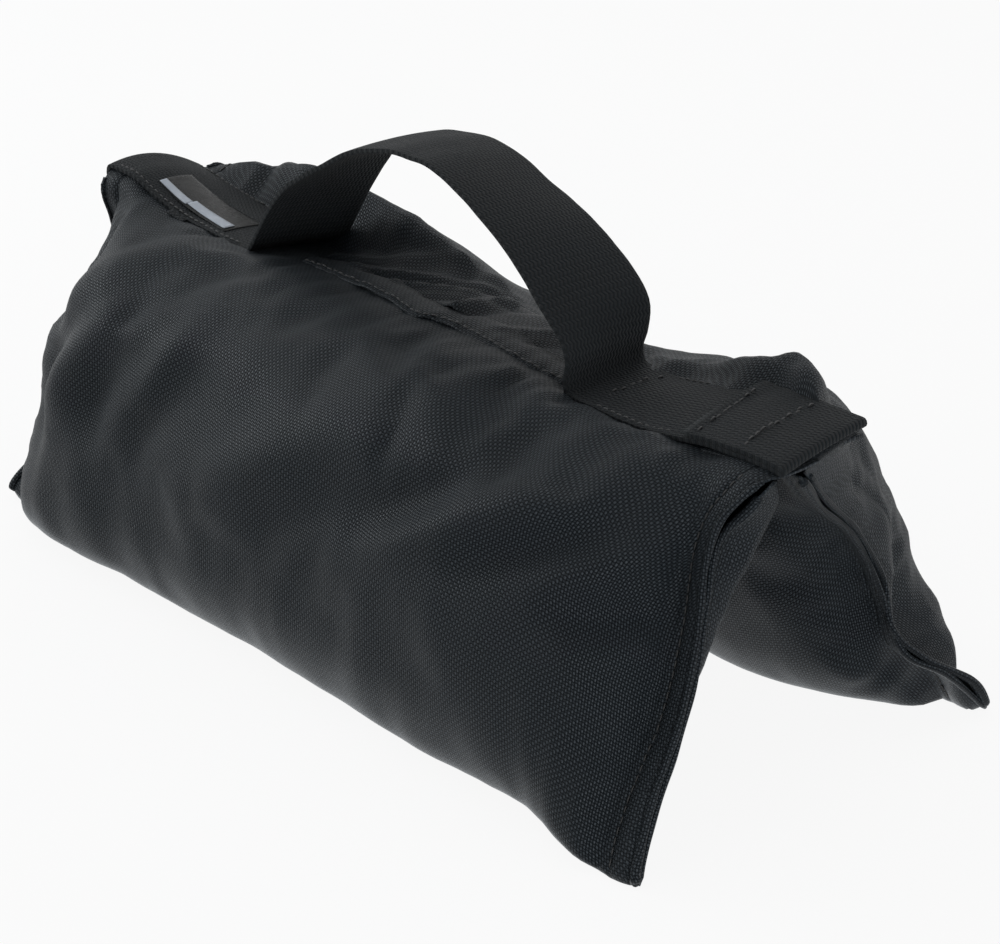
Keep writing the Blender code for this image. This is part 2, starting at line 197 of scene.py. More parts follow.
def thicken(obj, thickness, offset):
    return modify(obj, "SOLIDIFY", thickness=thickness * MM, offset=offset)


def on_saddle(obj, slot, *nodes):
    """Files a piece that keeps still with the ridge."""
    if nodes:
        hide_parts(*nodes)
    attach(obj, "saddle")


# Materials


class Nodes:
    """The node tree of a material or a world."""

    def __init__(self, owner, shader="Principled BSDF"):
        owner.use_nodes = True
        self.owner = owner
        self.tree = owner.node_tree
        self.shader = self.tree.nodes[shader]

    def new(self, kind, inputs=(), **settings):
        """A node with its settings, and values or links for some of its inputs."""
        node = self.tree.nodes.new(kind)
        assign(node, **settings)
        for key, value in dict(inputs).items():
            self.feed(node.inputs[key], value)
        return node

    def feed(self, socket, value):
        """Links an output to the socket, or writes a plain value on it."""
        if isinstance(value, bpy.types.NodeSocket):
            self.tree.links.new(value, socket)
        else:
            socket.default_value = value

    def put(self, name, value):
        self.feed(self.shader.inputs[name], value)

    def math(self, operation, *values, clamp=False):
        inputs = enumerate(values)
        return self.new("ShaderNodeMath", inputs, operation=operation, use_clamp=clamp).outputs[0]

    def mul(self, a, b, clamp=False):
        return self.math("MULTIPLY", a, b, clamp=clamp)

    def mad(self, a, b, c, clamp=False):
        """a times b, plus c."""
        return self.math("MULTIPLY_ADD", a, b, c, clamp=clamp)

    def weave(self):
        """Place on the flat cloth, stored on the mesh."""
        return self.new("ShaderNodeAttribute", attribute_name="weave").outputs["Vector"]

    def place(self):
        return self.new("ShaderNodeTexCoord").outputs["Object"]

    def split(self, vector):
        return self.new("ShaderNodeSeparateXYZ", {0: vector}).outputs

    def noise(self, vector, scale, detail=2.0, rough=0.5):
        inputs = {"Scale": scale, "Detail": detail, "Roughness": rough, "Vector": vector}
        return self.new("ShaderNodeTexNoise", inputs).outputs["Fac"]

    def ramp(self, value, stops):
        node = self.new("ShaderNodeValToRGB", {"Fac": value})
        elements = node.color_ramp.elements
        while len(elements) < len(stops):
            elements.new(0.5)
        for element, (at, colour) in zip(elements, stops):
            element.position = at
            element.color = (*colour, 1)
        return node.outputs["Color"]

    def spread(self, value, low, high):
        """Maps 0..1 to low..high."""
        return self.mad(value, high - low, low)

    def bump(self, height, distance, strength=1.0, after=None):
        node = self.new("ShaderNodeBump", {"Strength": strength, "Distance": distance, "Height": height})
        if after:
            self.feed(node.inputs["Normal"], after)
        return node.outputs["Normal"]

    def mixed(self, factor, a, b):
        """Colour between a and b."""
        inputs = {"Factor": factor, "A": a, "B": b}
        return self.new("ShaderNodeMix", inputs, data_type="RGBA", blend_type="MIX").outputs["Result"]

    def send(self, factor, other, output):
        """Sends the shader, mixed with another one, to the output."""
        mix = self.new("ShaderNodeMixShader", {0: factor, 1: self.shader.outputs[0], 2: other.outputs[0]})
        self.feed(self.tree.nodes[output].inputs["Surface"], mix.outputs[0])

    def pale_rays(self):
        """1 for the rays that show the white background."""
        path = self.new("ShaderNodeLightPath").outputs
        either = self.math("MAXIMUM", path["Is Glossy Ray"], path["Is Transmission Ray"])
        return self.math("MAXIMUM", path["Is Camera Ray"], either)


def new_material(name):
    return Nodes(bpy.data.materials.new(name))


def cloth_material(name, dark, light):
    """Coated plain weave of thick flat threads. Its colour is painted lighter on the thread tops and darker
    in the gaps between them: painted highlights and painted shade.
    """
    n = new_material(name)
    weave = n.weave()
    u, v, w = n.split(weave)
    waver = n.mul(n.math("SUBTRACT", n.noise(weave, 60, 2, 0.5), 0.5), 1.6 * MM)
    side = n.math("SINE", n.mul(n.math("ADD", u, waver), math.pi / THREAD_PITCH))
    down = n.math("SINE", n.mul(n.math("ADD", v, waver), math.pi / THREAD_PITCH))
    over = n.mad(n.mul(side, down), 0.9, 0.5, clamp=True)
    warp = n.mul(n.math("POWER", n.math("ABSOLUTE", side), 0.45), over)
    weft = n.mul(n.math("POWER", n.math("ABSOLUTE", down), 0.45), n.math("SUBTRACT", 1.0, over))
    height = n.math("MAXIMUM", warp, n.mul(weft, 0.72))
    fuzz = n.noise(weave, 2600, 3, 0.6)
    height = n.mad(fuzz, 0.20, height)
    patch = n.noise(weave, 34, 4, 0.55)
    # Painted highlights on the thread tops and painted shade in the gaps: the colour follows the threads'
    # relief, with a patchy tone.
    tops = n.math("MAXIMUM", n.math("POWER", warp, 1.6), n.mul(n.math("POWER", weft, 1.6), 0.48))
    painted_relief_light_and_tone = n.mad(tops, n.spread(patch, 0.75, 1.25), n.mul(fuzz, 0.12), clamp=True)
    colour = n.ramp(painted_relief_light_and_tone, [(0.10, dark), (0.95, light)])
    wear = n.mul(n.math("POWER", w, 1.5), n.mad(fuzz, 0.8, 0.3), clamp=True)
    worn = (*[min(1, c * 1.6) for c in light], 1)
    n.put("Base Color", n.mixed(n.mul(wear, 0.35), colour, worn))
    n.put("Roughness", n.spread(n.mad(patch, 0.6, n.mul(fuzz, 0.4)), 0.40, 0.58))
    n.put("Normal", n.bump(height, 0.00050, 0.9))
    n.put("Specular IOR Level", n.spread(tops, 0.03, 0.27))
    n.put("Sheen Weight", 0.02)
    n.put("Sheen Roughness", 0.4)
    # The coating shines where the cloth curves under near the floor and is seen at a low angle.
    facing = n.new("ShaderNodeLayerWeight").outputs["Facing"]
    spot = n.new("ShaderNodeNewGeometry").outputs
    under = n.mad(n.split(spot["Normal"])[2], -2.2, 0.25, clamp=True)
    near = n.mad(n.split(spot["Position"])[2], -13.0, 1.35, clamp=True)
    n.put("Coat Weight", n.mul(n.math("POWER", facing, 2.0), n.mul(under, near)))
    n.put("Coat Normal", n.bump(height, 0.00035, 0.45))
    n.put("Coat Roughness", 0.36)
    n.put("Coat IOR", 1.9)
    n.put("Coat Tint", (0.72, 0.88, 1, 1))
    return n.owner


def webbing_material(name, dark, light):
    """Heavy webbing: lengthwise cords that zigzag from row to row."""
    n = new_material(name)
    weave = n.weave()
    along, across, w = n.split(weave)
    lean = n.mul(n.math("PINGPONG", along, WEBBING_ROW), 0.55 / WEBBING_ROW)
    phase = n.mul(n.math("ADD", n.math("DIVIDE", across, WEBBING_CORD), lean), 2 * math.pi)
    cords = n.math("POWER", n.mad(n.math("COSINE", phase), 0.5, 0.5), 0.6)
    rows = n.math("SINE", n.mul(along, math.pi / WEBBING_ROW))
    rows = n.math("POWER", n.math("ABSOLUTE", rows), 0.35)
    fuzz = n.noise(weave, 3200, 3, 0.65)
    height = n.mul(cords, n.mad(rows, 0.6, 0.4))
    height = n.mad(fuzz, 0.35, height)
    patch = n.noise(weave, 45, 3, 0.5)
    # Painted highlights on the raised cords and painted shade between them: the colour follows the relief,
    # with a patchy tone.
    painted_relief_light_and_tone = n.mad(patch, 0.4, n.mul(height, 0.42), clamp=True)
    colour = n.ramp(painted_relief_light_and_tone, [(0.12, dark), (0.8, light)])
    frayed = n.mul(w, n.mad(fuzz, 0.9, 0.1), clamp=True)
    n.put("Base Color", n.mixed(frayed, colour, (0.075, 0.082, 0.084, 1)))
    n.put("Roughness", n.spread(n.mad(fuzz, 0.5, n.mul(patch, 0.5)), 0.60, 0.80))
    n.put("Normal", n.bump(height, 0.00055, 0.9))
    n.put("Specular IOR Level", 0.12)
    n.put("Sheen Weight", 0.03)
    n.put("Sheen Roughness", 0.5)
    return n.owner


def thread_material(name, colour):
    """Twisted sewing thread."""
    n = new_material(name)
    coordinates = n.place()
    x, y, z = n.split(coordinates)
    twist = n.math("SINE", n.mul(n.math("ADD", n.math("ADD", x, y), z), TWIST))
    fuzz = n.noise(coordinates, 4000, 2)
    height = n.mad(twist, 0.5, fuzz)
    n.put("Base Color", n.ramp(fuzz, [(0.3, [c * 0.55 for c in colour]), (0.7, colour)]))
    n.put("Normal", n.bump(height, 0.0001, 0.6))
    n.put("Roughness", n.spread(fuzz, 0.45, 0.6))
    return n.owner


def label_material(name, dark, light, rough):
    """Woven satin label with faint creases."""
    n = new_material(name)
    weave = n.weave()
    u, v = n.split(weave)[:2]
    threads = n.math("SINE", n.mul(v, 2 * math.pi / LABEL_THREAD))
    cross = n.math("SINE", n.mul(u, 2 * math.pi / LABEL_CROSS))
    fine = n.mad(n.mul(threads, cross), 0.5, 0.5)
    creases = n.noise(weave, 120, 3, 0.5)
    n.put("Base Color", n.ramp(n.mad(creases, 0.8, n.mul(fine, 0.2)), [(0.3, dark), (0.75, light)]))
    n.put("Roughness", n.spread(creases, *rough))
    first = n.bump(creases, 0.0012, 0.5)
    n.put("Normal", n.bump(fine, 0.00012, 0.6, first))
    n.put("Specular IOR Level", 0.08)
    return n.owner


def grained_material(name, scale, rough, dark, light, depth, strength, low, high):
    """A plain surface whose colour, relief and roughness follow one noise."""
    n = new_material(name)
    grain = n.noise(n.place(), scale, 4, rough)
    n.put("Base Color", n.ramp(grain, [(0.3, dark), (0.7, light)]))
    n.put("Normal", n.bump(grain, depth, strength))
    n.put("Roughness", n.spread(grain, low, high))
    return n.owner


CLOTH = cloth_material("coated_oxford", (0.0010, 0.0017, 0.0025), (0.0215, 0.0285, 0.0350))
STRAP = webbing_material("heavy_webbing", (0.0010, 0.0015, 0.0020), (0.0090, 0.0118, 0.0142))
THREAD = thread_material("sewing_thread", (0.0042, 0.0048, 0.0054))
LABEL = label_material("label_satin", (0.002, 0.0024, 0.0026), (0.012, 0.0135, 0.014), (0.16, 0.36))
BAND = label_material("label_band", (0.42, 0.46, 0.52), (0.60, 0.64, 0.69), (0.45, 0.6))
SAND = grained_material("dry_sand", 1800, 0.7, (0.30, 0.22, 0.13), (0.66, 0.55, 0.38), 0.0006, 0.8, 0.8, 0.95)
FILM = grained_material("liner_film", 60, 0.6, (0.48, 0.49, 0.48), (0.62, 0.63, 0.62), 0.002, 0.5, 0.3, 0.5)

# Shape of the ridge, in mm

HALF = 222.0  # half length of the bag
EDGE = 25.0  # half width of the strap
NEAR_RIDGE = curve([
    (-222, 150.5), (-206, 150.5), (-190, 146), (-176, 142.2), (-158, 139.6), (-136, 138.6), (-111, 138.6),
    (-85, 141), (-55, 143), (0, 144), (50, 143), (88, 140), (110, 138.2), (140, 138.6), (161, 141.5),
    (176, 144), (199, 146.8), (214, 147.2), (222, 146.4),
])
FAR_RIDGE = curve([
    (-222, 138.5), (-206, 136.5), (-190, 134.5), (-161, 132), (-136, 131), (-107, 131.5), (-80, 135),
    (-50, 139), (0, 141.5), (50, 139.5), (91, 135), (106, 135), (132, 139), (155, 144), (171, 147.6),
    (184, 149.4), (200, 149.6), (222, 150),
])
RIDGE_ARCH = curve([
    (-222, 5.5), (-200, 4.2), (-175, 2.6), (-120, 1.6), (0, 0.8), (110, 1.4), (170, 1.6), (222, 1.0),
])


def ridge(x, y):
    """Height of the cloth on the ridge."""
    y = np.asarray(y, float)
    across = (y + EDGE) / (2 * EDGE)
    return NEAR_RIDGE(x) * (1 - across) + FAR_RIDGE(x) * across + RIDGE_ARCH(x) * (1 - (y / EDGE) ** 2)


# Pouches

# End seams: (share from the ridge to the ear, x, distance from the middle plane, height)
SEAMS = {
    ("front", 1): [
        (0.00, 221, 29, 146), (0.05, 216, 33, 138), (0.10, 211, 36, 131), (0.15, 206.5, 39, 125),
        (0.20, 203, 42, 116), (0.26, 204, 46, 108), (0.33, 207, 50, 98), (0.45, 212, 58, 81),
        (0.58, 216.5, 68.5, 60), (0.75, 219, 81.5, 35), (0.90, 222, 90, 14), (1.00, 225, 96.5, 1.5),
    ],
    ("front", -1): [
        (0.00, 222, 28, 146), (0.10, 221, 28.5, 132), (0.20, 219, 32.5, 118), (0.30, 219, 41, 104),
        (0.42, 219, 51, 89), (0.55, 219, 61, 73), (0.68, 219, 69, 54), (0.80, 219, 76, 36),
        (0.90, 220, 85, 17), (1.00, 221.5, 92.5, 4.5),
    ],
    ("back", 1): [
        (0.00, 221, -13, 144), (0.07, 217, -5, 136), (0.14, 213, 4, 126.5), (0.21, 209, 14, 116),
        (0.28, 205.5, 26, 106.5), (0.36, 203, 36, 97), (0.44, 202, 42.5, 88), (0.53, 201.5, 50, 77),
        (0.61, 202.5, 55.5, 67), (0.68, 205, 56, 58), (0.75, 209, 54.5, 48), (0.82, 213, 60.5, 37.5),
        (0.88, 217, 69, 30), (0.93, 221, 78, 24.5), (0.965, 223.5, 88, 17), (1.00, 225.5, 99, 3),
    ],
    ("back", -1): [
        (0.00, 220, 24, 139.5), (0.08, 218.5, 34, 135), (0.16, 217, 43, 128), (0.26, 215.5, 50, 116),
        (0.40, 213, 60, 97), (0.55, 211, 70, 73), (0.70, 212, 79, 47), (0.85, 217, 88, 21),
        (1.00, 223, 98, 2),
    ],
}
# Reach of each pouch's lower outer edge along the bag
FRONT_REACH = curve([
    (-224, 98), (-193, 103), (-167, 104.5), (-138, 101.5), (-93, 96.5), (-33, 95), (13, 93.5), (45, 94),
    (99, 95), (137, 92), (159, 91.5), (173, 95), (187, 101), (201, 105), (212, 105), (220, 103), (224, 97),
])
BACK_REACH = curve([
    (-224, 98), (-150, 101), (-60, 98), (30, 101), (120, 99), (175, 99), (205, 95), (224, 96),
])
# Heights of the back pouch's top along the bag, 35, 45 and 60 mm from the middle plane
BACK_SHOULDER = curve([
    (-222, 138.5), (-183, 153), (-144, 157.5), (-99, 156), (-57, 150.5), (-9, 142.5), (30, 137.5),
    (86, 139.5), (115, 143), (138, 150), (166, 159), (184, 165), (198, 162), (212, 152), (222, 143),
])
BACK_PEAK = curve([
    (-222, 133), (-195, 145), (-156, 150.5), (-111, 149.5), (-69, 143.5), (-21, 135.5), (18, 131),
    (50, 131.5), (74, 133.5), (103, 136.5), (126, 143), (154, 153), (172, 159.5), (186, 159.5),
    (200, 151.5), (222, 135),
])
BACK_SLOPE = curve([
    (-222, 125), (-173, 133), (-128, 135), (-86, 130), (-38, 124), (1, 120), (40, 120), (86, 123),
    (109, 129), (137, 137), (155, 140), (175, 136), (222, 120),
])
FRONT_PEAK = curve([
    (-222, 148), (-190, 147.5), (-150, 144.5), (-111, 143.5), (-60, 145.5), (0, 146), (60, 145),
    (100, 142.5), (144, 142), (180, 145.5), (222, 148),
])
# Each ring point's share of the way down the end seam, and its face: 1 outer, -1 inner
RING_SHARES = (0.0, 0.0, 0.01, 0.04, 0.09, 0.16, 0.25, 0.36, 0.49, 0.62, 0.76, 0.88, 0.97, 1.0,
               1.0, 0.985, 0.93, 0.82, 0.66, 0.50, 0.34, 0.19, 0.07, 0.0)
FACES = (1,) * 13 + (0,) + (-1,) * 10
# How far each ring point keeps the middle's section at the end
KEPT = {
    ("front", -1): (1, 1, 1, 0.75, 0.35, 0.12) + (0,) * 18,
    ("front", 1): (1, 1, 1, 0.75, 0.35, 0.12) + (0,) * 13 + (0.2, 0.45, 0.75, 0.95, 1),
    ("back", -1): (1, 1, 1, 0.95, 0.8, 0.45, 0.1) + (0,) * 17,
    ("back", 1): (1, 1, 1, 0.85, 0.66, 0.50, 0.36, 0.22, 0.18, 0.14, 0.06) + (0,) * 13,
}
# How far in from the end the cloth turns down to a seam that lies under the strap
TURNED_DOWN = {("back", 1): (4.5, 1), ("front", 1): (8.0, -1)}
FLANGE = 18.0  # width of the flat end seam
FLANGE_THICK = 2.7
STITCH_INSET = 11.0
CLOTH_THICK = 0.9
CLEARANCE = 0.25  # from the floor to the cloth
CAGE_REACH = 96.5  # of the lower outer edge, before its own reach is added
# How far from the end the section is full again, and how fast it fills
SWELL = {"front": (112.0, 0.62), "back": (85.0, 0.52)}
# Where the cloth rolls over its seam: how much of the flange is hidden, how far the seam is drawn in,
# which face rolls, and the heights between which it does
ROLLED = {("front", -1): (14.0, 20.0, 1, 12, 50), ("back", 1): (14.0, 0.0, 1, 50, 100),
          ("front", 1): (12.0, 0.0, -1, 40, 110)}


def fullness(side, x, hidden=0.0):
    reach, power = SWELL[side]
    d = np.clip((HALF - FLANGE + hidden + 1.0 - np.abs(x)) / reach, 0, 1)
    return np.clip(1 - (1 - d) ** 2.5, 0, 1) ** power


def ring_points(side, x):
    """The cage of a pouch's cross-sections: (distance from the middle plane, height) at each station."""
    back = side == "back"
    edge = ridge(x, EDGE if back else -EDGE)
    if back:
        shoulder, slope = BACK_SHOULDER(x), BACK_SLOPE(x)
        outer = [(-8, ridge(x, -8) - 0.6), (8, ridge(x, 8)), (21, ridge(x, 21)),
                 (28, edge + 0.35 * (shoulder - edge)), (35, shoulder), (45, BACK_PEAK(x)), (60, slope),
                 (78, slope - 14), (93, 95), (105, 75), (113, 53), (117, 32)]
    else:
        peak = FRONT_PEAK(x)
        outer = [(4, ridge(x, -4) - 1.6), (13, ridge(x, -13) - 1.2), (22, ridge(x, -22) - 0.5),
                 (29, edge + 0.55 * (peak - edge)), (38, peak + 0.5), (50, peak - 0.5),
                 (65, 0.5 * peak + 0.5 * 137), (81.5, 130.5), (96, 111), (107, 88), (113.5, 61), (116.5, 36)]
    inner = [(112.5, 13.5), (102, 4.4), (86, 0.3), (62, 0), (44, 2.5), (34, 16), (27.5, 38), (22.5, 62),
             (17.5, 90), (14.5, 114), (16.5, 131), (20, ridge(x, 20 if back else -20) - 6)]
    points = np.stack([triples(out, height, x)[:, :2] for out, height in outer + inner], 1)
    if back:
        # The underside draws outward towards the right end.
        points[:, 15:19, 0] += smooth(x, 130, 200)[:, None] * np.array([3, 7, 5, 2])
    return points


def pouch_grid(side, xs, places):
    """Points of a pouch's cloth in mm before its folds: rows along the bag, columns around the pouch."""
    full = ring_points(side, xs)
    shares, faces = np.array(RING_SHARES), np.array(FACES, float)
    low = 1 - smooth(full[:, :, 1], 15, 95)
    if side == "front":
        ease = (1 - 0.15 * low) * np.where(faces < 0, 0.75, 1)
    else:
        ease = 1 - np.where(faces < 0, 0.45, 0.7) * low
    away = np.abs(xs)[:, None]
    inset = HALF - away
    thick = FLANGE_THICK * (1 - 0.45 * bell(inset, STITCH_INSET, 1.6)) * smooth(inset, -2, 1.2)
    apart = faces * (thick * 0.5 + 0.35)
    # The lower cloth comes down to the floor just inside the seam.
    raised = 1 - smooth(inset, -0.5, 3.5) * (faces <= 0) * (1 - smooth(full[:, :, 1], 0.5, 2.4))
    out = np.zeros((len(xs), len(faces), 3))
    for end in (-1, 1):
        table = SEAMS[(side, end)]
        hidden, drawn, face, bottom, top = ROLLED.get((side, end), (0, 0, 1, 0, 1))
        rolled = smooth(full[:, :, 1], bottom, top) * (faces == face)
        full_share = fullness(side, away) * (1 - rolled) + fullness(side, away, hidden) * rolled
        kept = np.array(KEPT[(side, end)], float)
        if (side, end) in TURNED_DOWN:
            depth, face = TURNED_DOWN[(side, end)]
            kept = kept * np.where(faces == face, smooth(inset, 0, depth), 1)
        full_share = np.maximum(full_share**ease, kept)
        sx, sy, sz = (curve([(row[0], row[k]) for row in table]) for k in (1, 2, 3))
        flat_y = sy(shares) - drawn * np.sin(math.pi * np.clip(shares, 0, 1) ** 1.15) ** 1.1
        before, after = (np.clip(shares + step, 0, 1) for step in (-0.01, 0.01))
        dy, dz = sy(after) - sy(before), sz(after) - sz(before)
        length = np.hypot(dy, dz)
        fy = flat_y - dz / length * apart
        fz = sz(shares) + dy / length * apart
        x = away + (sx(shares) - HALF) * (away / HALF) ** 4 * (1 - 0.8 * kept * (faces < 0))
        y = fy + (full[:, :, 0] - fy) * full_share
        z = (fz + (full[:, :, 1] - fz) * full_share) * raised
        out = np.where((xs * end >= 0)[:, None, None], np.stack([end * x, y, z], 2), out)
    sign = -1 if side == "front" else 1
    reach = (FRONT_REACH if side == "front" else BACK_REACH)(xs)[:, None] - CAGE_REACH
    out[:, :, 1] += reach * (1 - smooth(out[:, :, 2], 8, 62)) * smooth(out[:, :, 1], 55, 92)
    fine = ring_spline(out, places)
    fine[:, :, 2] = np.maximum(fine[:, :, 2], CLEARANCE)
    fine[:, :, 1] *= sign
    return fine


def ring_places(side, spacing):
    """Ring parameters that lie evenly along the cloth at the middle of the bag, and their distances."""
    dense = np.linspace(0, 1, 1200)
    line = pouch_grid(side, np.array([1.0]), dense)[0]
    run = distances(line)
    wanted = np.linspace(0, run[-1], int(round(run[-1] / spacing)) + 1)
    return np.interp(wanted, run, dense), wanted


def station_places(spacing):
    """Stations along the ridge, closer together in the end flanges."""
    ends = [
        0.0, 0.5, 1.2, 2.4, 4.0, 5.8, 7.4, 8.8, 9.8, 10.5, 11.0, 11.5, 12.2, 13.2, 14.6, 16.2, 18.0, 20.2,
        22.8,
    ]
    inner = HALF - ends[-1]
    count = int(round(inner / spacing))
    half = np.array([inner * k / count for k in range(1, count)] + [HALF - e for e in reversed(ends)])
    return np.concatenate([-half[::-1], [0.0], half])


# Folds of the cloth: height (+ ridge, - valley), width, then (x, height above the floor) along it
FOLDS = {
    "front": [
        (-4.4, 14, [(-202, 138), (-186, 118), (-179, 98)]),
        (3.6, 13, [(-150, 131), (-172, 112), (-188, 92), (-198, 66)]),
        (-3.0, 11, [(-160, 108), (-172, 86), (-176, 60), (-172, 40)]),
        (3.0, 15, [(-112, 132), (-134, 112), (-150, 92), (-158, 66)]),
        (-3.4, 14, [(-118, 108), (-126, 84), (-120, 60)]),
        (2.2, 12, [(-76, 134), (-84, 112), (-96, 92)]),
        (-2.6, 16, [(-66, 112), (-84, 88), (-98, 62), (-100, 44)]),
        (3.2, 20, [(60, 128), (26, 116), (-8, 96), (-40, 70), (-58, 46)]),
        (-2.4, 15, [(74, 110), (44, 98), (14, 80), (-8, 58)]),
        (-3.2, 13, [(112, 134), (92, 116), (66, 100)]),
        (2.6, 11, [(150, 134), (124, 118), (98, 104), (76, 92)]),
        (-2.8, 9, [(172, 126), (148, 112), (124, 100)]),
        (2.0, 8, [(196, 120), (178, 110), (158, 102)]),
        (-1.8, 8, [(206, 96), (188, 92), (170, 92)]),
        (1.6, 8, [(208, 74), (190, 76), (172, 82)]),
        (-1.4, 7, [(212, 40), (196, 46), (182, 56)]),
        (-1.8, 10, [(-214, 30), (-190, 34), (-168, 44)]),
    ],
    "back": [
        (-2.4, 12, [(150, 150), (128, 132), (110, 112)]),
        (2.4, 12, [(120, 140), (96, 120), (80, 98)]),
        (-2.6, 14, [(60, 136), (38, 112), (24, 84)]),
        (2.6, 16, [(10, 136), (-14, 112), (-30, 82)]),
        (-2.6, 12, [(-70, 138), (-90, 114), (-104, 86)]),
        (2.2, 12, [(-130, 140), (-150, 118), (-166, 92)]),
        (-3.0, 12, [(-180, 136), (-186, 112), (-178, 84)]),
        (-0.8, 9, [(206, 104), (186, 96), (166, 92)]),
        (1.0, 9, [(208, 56), (190, 62), (172, 72)]),
    ],
}


def fold_heights(side, points, outer):
    """Sum of the folds on the outer face."""
    total = np.zeros(points.shape[:2])
    for height, width, line in FOLDS[side]:
        best = np.full(points.shape[:2], 1e9)
        share = np.zeros(points.shape[:2])
        count = len(line) - 1
        for k in range(count):
            t, away = beside(points[:, :, 0], points[:, :, 2], line[k], line[k + 1])
            closer = away < best
            best = np.where(closer, away, best)
            share = np.where(closer, (k + t) / count, share)
        taper = np.sin(math.pi * np.clip(0.12 + 0.76 * share, 0, 1)) ** 0.8
        total += 1.9 * height * np.exp(-((best / (0.85 * width)) ** 2)) * taper
    return total * outer


def settle(name, grid, hold):
    """Lets the cloth swell and buckle a little: a cloth simulation whose result is read back as offsets."""
    frames, most = 16, 6.0
    obj = grid_mesh(name, grid, grid * 0, None)
    group = obj.vertex_groups.new(name="hold")
    rounded = np.round(hold.ravel(), 2)
    for level in np.unique(rounded):
        group.add(np.nonzero(rounded == level)[0].tolist(), float(level), "REPLACE")
    mod = obj.modifiers.new("cloth", "CLOTH")
    s = mod.settings
    s.quality = 5
    s.mass = 0.25
    s.tension_stiffness = s.compression_stiffness = 12
    s.shear_stiffness = 6
    s.bending_stiffness = 0.35
    s.tension_damping = s.compression_damping = s.shear_damping = 6
    s.vertex_group_mass = "hold"
    s.pin_stiffness = 1.0
    s.use_pressure = True
    s.uniform_pressure_force = 1.2
    s.shrink_min = -0.03
    s.effector_weights.gravity = 0
    mod.collision_settings.use_collision = False
    mod.point_cache.frame_start = 1
    mod.point_cache.frame_end = frames
    for number in range(1, frames + 1):
        scene.frame_set(number)
    graph = bpy.context.evaluated_depsgraph_get()
    mesh = obj.evaluated_get(graph).to_mesh()
    moved = np.zeros(len(mesh.vertices) * 3, np.float32)
    mesh.vertices.foreach_get("co", moved)
    moved = moved.reshape(grid.shape) / MM
    scene.frame_set(1)
    data = obj.data
    bpy.data.objects.remove(obj)
    bpy.data.meshes.remove(data)
    offset = moved - grid
    size = np.linalg.norm(offset, axis=2, keepdims=True)
    print(name, "settled: mean %.2f, most %.2f mm" % (size.mean(), size.max()))
    return offset * np.minimum(1, most / np.maximum(size, 1e-9))


def resample(field, rows_from, rows_to, cols_from, cols_to):
    """Reads a grid of vectors at other rows and columns."""
    for axis, at, known in ((0, rows_to, rows_from), (1, cols_to, cols_from)):
        field = np.apply_along_axis(lambda values: np.interp(at, known, values), axis, field)
    return field


def soften(field, rounds):
    for _ in range(rounds):
        padded = np.pad(field, ((1, 1), (1, 1), (0, 0)), mode="edge")
        field = (padded[:-2, 1:-1] + padded[2:, 1:-1] + padded[1:-1, :-2] + padded[1:-1, 2:] + 2 * field) / 6
    return field


def faces_out(grid, sign):
    """Whether the grid's own winding points away from the pouch's middle."""
    middle = np.array([0, sign * 65.0, 70.0])
    return np.sum(normals_of(grid) * (grid - middle)) > 0


# Steps of the cloth's points in mm, along the bag and around it; the simulated cloth is coarser
STATION_STEP, RING_STEP = 3.0, 2.8
COARSE_STATIONS, COARSE_STEP = 90, 5.0


